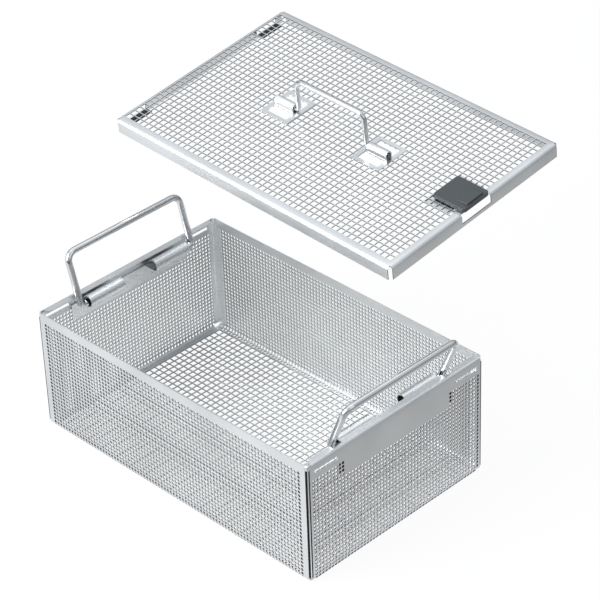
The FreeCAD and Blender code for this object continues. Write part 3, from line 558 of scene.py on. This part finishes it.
# %% [markdown]
# The lid is a tray turned upside down. It is made flat about its own centre and then carried
# to its place above the basket, tilted by seven degrees one way and two and a half the other.
# Each side of the blank is folded down; the corners are cut out first and stay open.

# %% Place the lid's own frame
LID_TILT = math.radians(7.23)
LID_PITCH = math.radians(2.52)
LID_CENTRE = Vector((-43.3, 122.3, 178.1)) * MM
LID_TOP = 5.25 * MM
LID_PLACE = (Matrix.Translation(LID_CENTRE) @ Matrix.Rotation(LID_TILT, 4, "X")
             @ Matrix.Rotation(LID_PITCH, 4, "Y"))

# %% Fold the lid
LID_HALF_LENGTH = 133.0 * MM
LID_HALF_WIDTH = 85.0 * MM
LID_DEPTH = 10.5 * MM
LID_BEND = 3.0 * MM
LID_COLUMNS = 52
LID_ROWS = 32
LID_FIELD_X = (-129.6 * MM, 127.5 * MM)
LID_FIELD_Y = (-78.5 * MM, 79.2 * MM)
HOOK_LOW, HOOK_HIGH = 56.4 * MM, 76.4 * MM
HOOK_DROP = 7.2 * MM
HOOK_WINDOW = 4.0 * MM
HOOK_REACH = 6.4 * MM
LATCH_HALF = 14.5 * MM
LATCH_DEPTH = 7.6 * MM
LATCH_DEEP = 1.2 * MM
PLATE_START, PLATE_LENGTH, PLATE_HALF = 30.8 * MM, 26.0 * MM, 15.0 * MM
WINDOW_LENGTH, WINDOW_HALF = 19.5 * MM, 11.8 * MM
LID_EYE_BORE = 2.3 * MM
PLATE_GAUGE = 0.8 * MM
STRIP_HALF = LID_EYE_BORE + PLATE_GAUGE


def lid_skirt(half):
    """Bend lines, and the flat distance to the edge, of a side folded down."""
    lines = bend_lines(half - LID_BEND, LID_BEND, 1)
    edge = half - LID_BEND + bend_length(LID_BEND) + LID_DEPTH - LID_BEND
    return lines, edge


def lid_depth_line(half, depth):
    """Flat distance at which a side folded down reaches a depth below the top."""
    return half - LID_BEND + bend_length(LID_BEND) + depth - LID_BEND


def eye_windows():
    """The four windows that the lid and its eye plates share, as low and high X and Y."""
    margin = (PLATE_LENGTH - WINDOW_LENGTH) / 2
    for side in (-1, 1):
        ends = sorted((side * (PLATE_START + margin), side * (PLATE_START + PLATE_LENGTH - margin)))
        for edges in ((-WINDOW_HALF, -STRIP_HALF), (STRIP_HALF, WINDOW_HALF)):
            yield (*ends, *edges)


def cut_window(bm, low_x, high_x, low_y, high_y):
    """Cut a rectangle out of the punched sheet, bars and all."""
    reach = 3 * MM
    for place, direction in (((low_x, 0, 0), (1, 0, 0)), ((high_x, 0, 0), (1, 0, 0)),
                             ((0, low_y, 0), (0, 1, 0)), ((0, high_y, 0), (0, 1, 0))):
        near = faces_in(bm, low_x - reach, high_x + reach, low_y - reach, high_y + reach)
        geometry = near + list({edge for face in near for edge in face.edges})
        geometry += list({vertex for face in near for vertex in face.verts})
        bmesh.ops.bisect_plane(bm, geom=geometry, dist=1e-7, plane_co=place, plane_no=direction)
    cut_away(bm, low_x, high_x, low_y, high_y)


def make_lid():
    """The lid sheet with its mesh, four folded sides, hook windows and latch window."""
    end_lines, end_edge = lid_skirt(LID_HALF_LENGTH)
    side_lines, side_edge = lid_skirt(LID_HALF_WIDTH)
    latch_start = LID_HALF_LENGTH - LATCH_DEEP
    latch_line = lid_depth_line(LID_HALF_LENGTH, LATCH_DEPTH)
    hook_low = lid_depth_line(LID_HALF_LENGTH, HOOK_DROP)
    hook_high = lid_depth_line(LID_HALF_LENGTH, HOOK_DROP - HOOK_WINDOW)
    field = (*LID_FIELD_X, *LID_FIELD_Y)
    bm = cut_blank([-end_edge, end_edge] + field_lines(*LID_FIELD_X, LID_COLUMNS),
                   [-side_edge, side_edge] + field_lines(*LID_FIELD_Y, LID_ROWS))
    punch(bm, faces_in(bm, *field), MESH_BAR, MESH_CORNER)
    hooks = [side * place for side in (-1, 1) for place in (HOOK_LOW, HOOK_HIGH)]
    slice_sheet(bm, [latch_line, latch_start, -hook_low, -hook_high]
                + end_lines + [-line for line in end_lines],
                [-LATCH_HALF, LATCH_HALF] + hooks + side_lines + [-line for line in side_lines])
    for side_x in (-1, 1):
        for side_y in (-1, 1):
            cut_away(bm, *sorted((side_x * end_lines[0], side_x * (end_edge + MM))),
                     *sorted((side_y * side_lines[0], side_y * (side_edge + MM))))
    cut_away(bm, latch_start, latch_line, -LATCH_HALF, LATCH_HALF)
    for side in (-1, 1):
        cut_away(bm, -hook_low, -hook_high, *sorted((side * HOOK_LOW, side * HOOK_HIGH)))
    for window in eye_windows():
        cut_window(bm, *window)
    thicken(bm, SHEET)
    for lines, along in ((end_lines, "Y"), (side_lines, "X")):
        fold(bm, lines, along, 1)
        fold(bm, [-line for line in lines], along, -1)
    for side in (-1, 1):
        add_hook(bm, side)
    finish_piece(bm, "lid_mesh", LID_PLACE @ Matrix.Translation((0, 0, LID_TOP)), "lid",
                 [lid_steel, painted_shade_edge_steel], ["lid_sheet"])


def add_hook(bm, side):
    """A tongue that stands inwards from the left side, below its window."""
    box = bmesh.ops.create_cube(bm, size=1)
    middle = side * (HOOK_LOW + HOOK_HIGH) / 2
    depth = HOOK_REACH + SHEET
    bmesh.ops.scale(bm, verts=box["verts"], vec=(depth, HOOK_HIGH - HOOK_LOW, SHEET))
    bmesh.ops.translate(bm, verts=box["verts"],
                        vec=(-LID_HALF_LENGTH + depth / 2, middle, -HOOK_DROP - SHEET / 2))
    # The whole tongue gets the near-black edge finish: painted shade, for the lid's shadow that it lies in.
    for face in {face for vertex in box["verts"] for face in vertex.link_faces}:
        face.material_index = 1


make_lid()

# %% [markdown]
# The wire handles are bent on a wire bender: a ring of vertices is fed forward for a straight
# run and spun about a centre for a bend. The run starts at one foot and ends at the other.

# %% Write the wire bender
WIRE_SIDES = 20
WIRE_BEND_STEPS = 8


def start_wire(bm, radius, place, direction):
    """The first ring of a wire, closed by a face."""
    ring = bmesh.ops.create_circle(bm, cap_ends=True, cap_tris=False, segments=WIRE_SIDES,
                                   radius=radius)
    turn = Vector((0, 0, 1)).rotation_difference(Vector(direction)).to_matrix().to_4x4()
    bmesh.ops.transform(bm, matrix=Matrix.Translation(place) @ turn, verts=ring["verts"])
    return [edge for edge in bm.edges if all(v in ring["verts"] for v in edge.verts)]


def feed(bm, ring, step):
    """Feed the wire straight forward."""
    grown = bmesh.ops.extrude_edge_only(bm, edges=ring)["geom"]
    verts = [item for item in grown if isinstance(item, bmesh.types.BMVert)]
    bmesh.ops.translate(bm, verts=verts, vec=step)
    return [item for item in grown if isinstance(item, bmesh.types.BMEdge)
            and all(v in verts for v in item.verts)]


def bend(bm, ring, centre, axis, angle):
    """Bend the wire about a centre."""
    verts = list({vertex for edge in ring for vertex in edge.verts})
    spun = bmesh.ops.spin(bm, geom=verts + ring, cent=centre, axis=axis, angle=angle,
                          steps=WIRE_BEND_STEPS, use_merge=False, use_duplicate=False)
    return [item for item in spun["geom_last"] if isinstance(item, bmesh.types.BMEdge)]


def bend_handle(radius, half_span, rise, foot, foot_bend, top_bend, foot_turn):
    """A wire handle about the pivot line X, standing up along Z.

    foot_turn is -1 where the feet point inwards and 1 where they point outwards.
    """
    bm = bmesh.new()
    start = Vector((-half_span + -foot_turn * (foot_bend + foot), 0, 0))
    forward = Vector((foot_turn, 0, 0))
    chamfer = radius * 0.25
    ring = start_wire(bm, radius - chamfer, start, forward)
    widened = feed(bm, ring, forward * chamfer)
    middle = start + forward * chamfer
    bmesh.ops.scale(bm, verts=list({v for e in widened for v in e.verts}),
                    vec=(1, radius / (radius - chamfer), radius / (radius - chamfer)),
                    space=Matrix.Translation(-middle))
    ring = feed(bm, widened, forward * (foot - chamfer))
    ring = bend(bm, ring, Vector((-half_span - foot_turn * foot_bend, 0, foot_bend)),
                (0, foot_turn, 0), -math.pi / 2)
    ring = feed(bm, ring, Vector((0, 0, rise - foot_bend - top_bend)))
    ring = bend(bm, ring, Vector((-half_span + top_bend, 0, rise - top_bend)), (0, 1, 0), math.pi / 2)
    feed(bm, ring, Vector((half_span - top_bend, 0, 0)))
    bmesh.ops.mirror(bm, geom=all_geometry(bm), axis="X", merge_dist=1e-6)
    bmesh.ops.recalc_face_normals(bm, faces=bm.faces[:])
    return bm


# %% [markdown]
# The basket's handles lean outwards, the right one a little further than the left.

# %% Bend the basket's handles
HANDLE_LEAN = {"right": math.radians(22.5), "left": math.radians(-15.8)}
HANDLE_WIRE, HANDLE_RISE = 2.5 * MM, 39.5 * MM
HANDLE_HALF_SPAN = 52.5 * MM
HANDLE_FOOT, HANDLE_FOOT_BEND, HANDLE_TOP_BEND = 15.0 * MM, 4.0 * MM, 7.0 * MM


def joint_place(name):
    """Where a joint's axis passes, from the frame."""
    return Vector(next(joint["pos_m"] for joint in frame["joints"] if joint["name"] == name))


def make_handle(word):
    """One of the two swinging handles."""
    bm = bend_handle(HANDLE_WIRE, HANDLE_HALF_SPAN, HANDLE_RISE, HANDLE_FOOT, HANDLE_FOOT_BEND,
                     HANDLE_TOP_BEND, -1)
    place = (Matrix.Translation(joint_place(word + "_handle_pivot"))
             @ Matrix.Rotation(HANDLE_LEAN[word], 4, "Y") @ Matrix.Rotation(math.pi / 2, 4, "Z"))
    finish_piece(bm, word + "_handle_wire", place, word + "_bail", [wire_steel],
                 [word + "_handle"], smooth_angle=60)


make_handle("right")
make_handle("left")

# %% Bend the lid's handle
GRIP_WIRE, GRIP_HALF_SPAN, GRIP_RISE = 2.0 * MM, 32.5 * MM, 25.0 * MM
GRIP_FOOT, GRIP_FOOT_BEND, GRIP_TOP_BEND = 14.0 * MM, 3.0 * MM, 6.0 * MM
LID_EYE_LIFT = 3.5 * MM
GRIP_LIFT = LID_TOP + LID_EYE_LIFT
lid_handle_bm = bend_handle(GRIP_WIRE, GRIP_HALF_SPAN, GRIP_RISE, GRIP_FOOT, GRIP_FOOT_BEND,
                            GRIP_TOP_BEND, 1)
finish_piece(lid_handle_bm, "lid_handle_wire", LID_PLACE @ Matrix.Translation((0, 0, GRIP_LIFT)),
             "lid_bail", [wire_steel], ["lid_handle"], smooth_angle=60)

# %% [markdown]
# The brackets inside the end walls are plates with two flaps. Each flap leaves the plate as a
# shelf and is then rolled over the foot of the handle, so a short row of vertices is fed
# inwards and spun, and the strip gets its thickness at the end.

# %% Roll the bracket eyes
EYE_GAUGE = 0.8 * MM
EYE_RADIUS = 4.2 * MM
EYE_START, EYE_END = 15.0 * MM, 46.5 * MM
EYE_CENTRE = Vector((HALF_LENGTH - 10.5 * MM, 0, RIM - 4.9 * MM))
EYE_ROLL = math.radians(245)
EYE_STEPS = 22
BRACKET_HALF = 54.0 * MM
BRACKET_GAUGE = 1.0 * MM
BRACKET_HIGH = EYE_CENTRE.z - EYE_RADIUS + EYE_GAUGE / 2
BRACKET_LOW = BRACKET_HIGH - 12.8 * MM


def roll_eye(side):
    """One flap of the right bracket, rolled over the handle's foot."""
    bm = bmesh.new()
    low, high = sorted((side * EYE_START, side * EYE_END))
    face = HALF_LENGTH - SHEET - BRACKET_GAUGE / 2
    level = EYE_CENTRE.z - EYE_RADIUS
    ends = [bm.verts.new((face, y, level)) for y in (low, high)]
    edge = [bm.edges.new(ends)]
    edge = feed(bm, edge, Vector((EYE_CENTRE.x - face, 0, 0)))
    verts = [v for e in edge for v in e.verts]
    bmesh.ops.spin(bm, geom=verts + edge, cent=EYE_CENTRE, axis=(0, 1, 0), angle=EYE_ROLL,
                   steps=EYE_STEPS, use_merge=False, use_duplicate=False)
    bmesh.ops.remove_doubles(bm, verts=bm.verts[:], dist=1e-6)
    return bm


def plate(bm, low, high):
    """A flat plate between two corners."""
    box = bmesh.ops.create_cube(bm, size=1)
    bmesh.ops.scale(bm, verts=box["verts"], vec=high - low)
    bmesh.ops.translate(bm, verts=box["verts"], vec=(high + low) / 2)
    return box["verts"]


def add_strip(bm, strip, gauge, axis_place=None):
    """Give an open strip its thickness, half to each side, and add it to a piece.

    Faces that look towards the roll's axis get the second material, the painted shade inside the roll.
    """
    bmesh.ops.recalc_face_normals(strip, faces=strip.faces[:])
    strip.normal_update()
    offsets = {vertex: vertex.normal * gauge / 2 for vertex in strip.verts}
    for vertex, offset in offsets.items():
        vertex.co += offset
    bmesh.ops.solidify(strip, geom=strip.faces[:], thickness=gauge)
    # Painted shade: the faces inside the roll get the near-black edge finish.
    if axis_place:
        strip.normal_update()
        for face in strip.faces:
            inward = axis_place - face.calc_center_median()
            inward.y = 0
            if face.normal.dot(inward) > 0.5 * inward.length and inward.length < EYE_RADIUS:
                face.material_index = 1
    carrier = bpy.data.meshes.new("strip")
    strip.to_mesh(carrier)
    strip.free()
    bm.from_mesh(carrier)
    bpy.data.meshes.remove(carrier)


def make_bracket(word, mirrored):
    """A bracket: plate and two rolled eyes. The plate's outside gets near-black painted shadow where it shows
    behind the wall's holes.
    """
    bm = bmesh.new()
    plate(bm, Vector((HALF_LENGTH - SHEET - BRACKET_GAUGE, -BRACKET_HALF, BRACKET_LOW)),
          Vector((HALF_LENGTH - SHEET, BRACKET_HALF, BRACKET_HIGH)))
    bm.normal_update()
    # The plate's outer face is near black: painted shadow, seen through the wall's holes.
    for face in bm.faces:
        if face.normal.x > 0.5:
            face.material_index = 2
    for side in (-1, 1):
        add_strip(bm, roll_eye(side), EYE_GAUGE, EYE_CENTRE)
    place = Matrix.Scale(-1, 4, (1, 0, 0)) if mirrored else Matrix.Identity(4)
    bmesh.ops.transform(bm, matrix=place, verts=bm.verts)
    bmesh.ops.recalc_face_normals(bm, faces=bm.faces[:])
    finish_piece(bm, word + "_bracket_plate", Matrix.Identity(4), "basket",
                 [plain_steel, painted_shade_edge_steel, painted_shadow_steel], [word + "_handle_bracket"], smooth_angle=40)


make_bracket("right", False)
make_bracket("left", True)

# %% [markdown]
# On the lid, each handle foot runs in a raised eye: a plate with two windows, and between
# them a strip that arches over the wire.

# %% Make the lid's eye plates
LID_EYE_START, LID_EYE_LENGTH = 36.0 * MM, 17.4 * MM
LID_EYE_RADIUS = LID_EYE_BORE + PLATE_GAUGE / 2
ARCH_STEPS = 12


def arch_strip(low_x, high_x):
    """The strip that rises, arches over the wire and comes down again."""
    bm = bmesh.new()
    foot = 0.6 * MM
    start = -LID_EYE_RADIUS - foot
    ends = [bm.verts.new((x, start, PLATE_GAUGE / 2)) for x in (low_x, high_x)]
    edge = [bm.edges.new(ends)]
    edge = feed(bm, edge, Vector((0, foot, 0)))
    edge = feed(bm, edge, Vector((0, 0, LID_EYE_LIFT - PLATE_GAUGE / 2)))
    verts = [v for e in edge for v in e.verts]
    spun = bmesh.ops.spin(bm, geom=verts + edge, cent=(0, 0, LID_EYE_LIFT), axis=(1, 0, 0),
                          angle=-math.pi, steps=ARCH_STEPS, use_merge=False, use_duplicate=False)
    edge = [item for item in spun["geom_last"] if isinstance(item, bmesh.types.BMEdge)]
    edge = feed(bm, edge, Vector((0, 0, PLATE_GAUGE / 2 - LID_EYE_LIFT)))
    feed(bm, edge, Vector((0, foot, 0)))
    bmesh.ops.remove_doubles(bm, verts=bm.verts[:], dist=1e-6)
    return bm


def make_eye_plate(word, side):
    """One eye plate with its windows and arched strip."""
    low_x, high_x = sorted((side * PLATE_START, side * (PLATE_START + PLATE_LENGTH)))
    margin = (PLATE_LENGTH - WINDOW_LENGTH) / 2
    bm = cut_blank([low_x, low_x + margin, high_x - margin, high_x],
                   [-PLATE_HALF, -WINDOW_HALF, -STRIP_HALF, STRIP_HALF, WINDOW_HALF, PLATE_HALF])
    for window in eye_windows():
        cut_away(bm, *window)
    bmesh.ops.translate(bm, verts=bm.verts, vec=(0, 0, PLATE_GAUGE))
    thicken(bm, PLATE_GAUGE)
    for face in bm.faces:
        face.material_index = 0
    eye_low, eye_high = sorted((side * LID_EYE_START, side * (LID_EYE_START + LID_EYE_LENGTH)))
    add_strip(bm, arch_strip(eye_low, eye_high), PLATE_GAUGE)
    bmesh.ops.recalc_face_normals(bm, faces=bm.faces[:])
    finish_piece(bm, f"lid_eye_{word}", LID_PLACE @ Matrix.Translation((0, 0, LID_TOP)), "lid",
                 [plain_steel], [f"lid_eye_plate_{word}"], smooth_angle=40)


make_eye_plate("left", -1)
make_eye_plate("right", 1)

# %% [markdown]
# The latch is a dark moulded slide: a rounded slab with a low ramp on it, against whose end
# the thumb pushes outwards.

# %% Define the dark plastic
def dark_plastic():
    """Moulded plastic with a fine grain."""
    material = bpy.data.materials.new("dark_plastic")
    material.use_nodes = True
    tree = material.node_tree
    shader = tree.nodes["Principled BSDF"]
    where = tree.nodes.new("ShaderNodeTexCoord")
    grain = node_of(tree, "ShaderNodeTexNoise", Scale=1400.0, Detail=2.0)
    tree.links.new(where.outputs["Object"], grain.inputs["Vector"])
    tones = tree.nodes.new("ShaderNodeValToRGB")
    tones.color_ramp.elements[0].color = (0.042, 0.049, 0.053, 1)
    tones.color_ramp.elements[1].color = (0.058, 0.068, 0.072, 1)
    tree.links.new(grain.outputs["Fac"], tones.inputs["Fac"])
    tree.links.new(tones.outputs["Color"], shader.inputs["Base Color"])
    rough = node_of(tree, "ShaderNodeMapRange")
    rough.inputs["To Min"].default_value = 0.38
    rough.inputs["To Max"].default_value = 0.5
    tree.links.new(grain.outputs["Fac"], rough.inputs["Value"])
    tree.links.new(rough.outputs["Result"], shader.inputs["Roughness"])
    relief = node_of(tree, "ShaderNodeBump", Strength=0.08, Distance=0.05 * MM)
    tree.links.new(grain.outputs["Fac"], relief.inputs["Height"])
    tree.links.new(relief.outputs["Normal"], shader.inputs["Normal"])
    return material


latch_plastic = dark_plastic()

# %% Mould the latch button
BUTTON_START, BUTTON_END, BUTTON_HALF = 105.0 * MM, 133.5 * MM, 13.0 * MM
BUTTON_LIFT, BUTTON_GAUGE = 0.3 * MM, 3.2 * MM
RAMP_START, RAMP_END, RAMP_HALF = 119.0 * MM, 132.0 * MM, 8.0 * MM
RAMP_RISE, RAMP_FLAT = 1.4 * MM, 1.0 * MM
BUTTON_ROUND = 2.5 * MM


def make_button():
    """The slide with its thumb ramp."""
    bm = bmesh.new()
    slab = plate(bm, Vector((BUTTON_START, -BUTTON_HALF, 0)), Vector((BUTTON_END, BUTTON_HALF, BUTTON_GAUGE)))
    upright = [edge for edge in bm.edges
               if abs(edge.verts[0].co.z - edge.verts[1].co.z) > BUTTON_GAUGE / 2]
    bmesh.ops.bevel(bm, geom=upright, offset=BUTTON_ROUND, segments=5, profile=0.5,
                    affect="EDGES", material=-1)
    ramp = plate(bm, Vector((RAMP_START, -RAMP_HALF, BUTTON_GAUGE / 2)),
                 Vector((RAMP_END, RAMP_HALF, BUTTON_GAUGE + RAMP_RISE)))
    top_edge = [vertex for vertex in ramp if vertex.co.z > BUTTON_GAUGE and vertex.co.x < RAMP_END - MM]
    bmesh.ops.translate(bm, verts=top_edge, vec=(0, 0, -RAMP_RISE - 0.1 * MM))
    bmesh.ops.recalc_face_normals(bm, faces=bm.faces[:])
    place = LID_PLACE @ Matrix.Translation((0, 0, LID_TOP + BUTTON_LIFT))
    piece = finish_piece(bm, "latch_slide_cover", place, "latch", [latch_plastic],
                         ["latch_button"], smooth_angle=40)
    soften = piece.modifiers.new("rounded_edges", "BEVEL")
    soften.width = 0.6 * MM
    soften.segments = 3
    soften.limit_method = "ANGLE"
    soften.angle_limit = math.radians(40)


make_button()

# %% [markdown]
# At each corner the rounded angle shows between the two walls. A near-black strip of painted
# shadow stands on both sides of it, where the gap between angle and wall lies in shade.
# A small pressed cap closes the top of the front right corner.

# %% Make the corner seam shadows and the cap
LONG_SEAM_SHADOW, END_SEAM_SHADOW, SEAM_SHADOW_RELIEF = 1.4 * MM, 0.5 * MM, 0.06 * MM
WALL_GAP = 2.2 * MM
CAP_SIZE = Vector((4.0, 4.0, 4.0)) * MM
CAP_RISE = 0.5 * MM


def make_seam_shadows():
    """Near-black strips of painted shadow beside the walls' ends, at all four corners."""
    bm = bmesh.new()
    low_z, high_z = FLOOR_BEND, RIM - CAP_SIZE.z
    for side_x in (-1, 1):
        for side_y in (-1, 1):
            near = Vector((HALF_LENGTH - WALL_GAP, HALF_WIDTH - SHEET - SEAM_SHADOW_RELIEF))
            far = near + Vector((LONG_SEAM_SHADOW, 2 * SEAM_SHADOW_RELIEF))
            for (low_x, low_y), (high_x, high_y) in (
                    (near, far),
                    ((HALF_LENGTH - SHEET - SEAM_SHADOW_RELIEF, HALF_WIDTH - WALL_GAP),
                     (HALF_LENGTH - SHEET + SEAM_SHADOW_RELIEF, HALF_WIDTH - WALL_GAP + END_SEAM_SHADOW))):
                xs, ys = sorted((side_x * low_x, side_x * high_x)), sorted((side_y * low_y, side_y * high_y))
                plate(bm, Vector((xs[0], ys[0], low_z)), Vector((xs[1], ys[1], high_z)))
    finish_piece(bm, "corner_seam_shadows", Matrix.Identity(4), "basket", [painted_shadow_steel])


def make_cap():
    """The rounded cap over the corner's slit."""
    bm = bmesh.new()
    high = Vector((HALF_LENGTH, -HALF_WIDTH + CAP_SIZE.y, RIM + CAP_RISE))
    plate(bm, high - CAP_SIZE, high)
    bmesh.ops.bevel(bm, geom=bm.edges[:], offset=1.2 * MM, segments=4, profile=0.5,
                    affect="EDGES", material=-1)
    finish_piece(bm, "corner_cap", Matrix.Identity(4), "basket", [wire_steel])


make_seam_shadows()
make_cap()

# %% [markdown]
# The pieces whose solids already have the right form keep them, and only get their finish.

# %% Finish the solids that stay
def finish_node(name, material):
    """Give a carried-over solid its material."""
    mesh = nodes[name].data
    mesh.materials.clear()
    mesh.materials.append(material)


for name in ("corner_front_left", "corner_front_right", "corner_back_left", "corner_back_right"):
    finish_node(name, plain_steel)
for name in ("latch_bolt", "latch_guide", "latch_spring"):
    finish_node(name, plain_steel)
finish_node("latch_rivets", wire_steel)
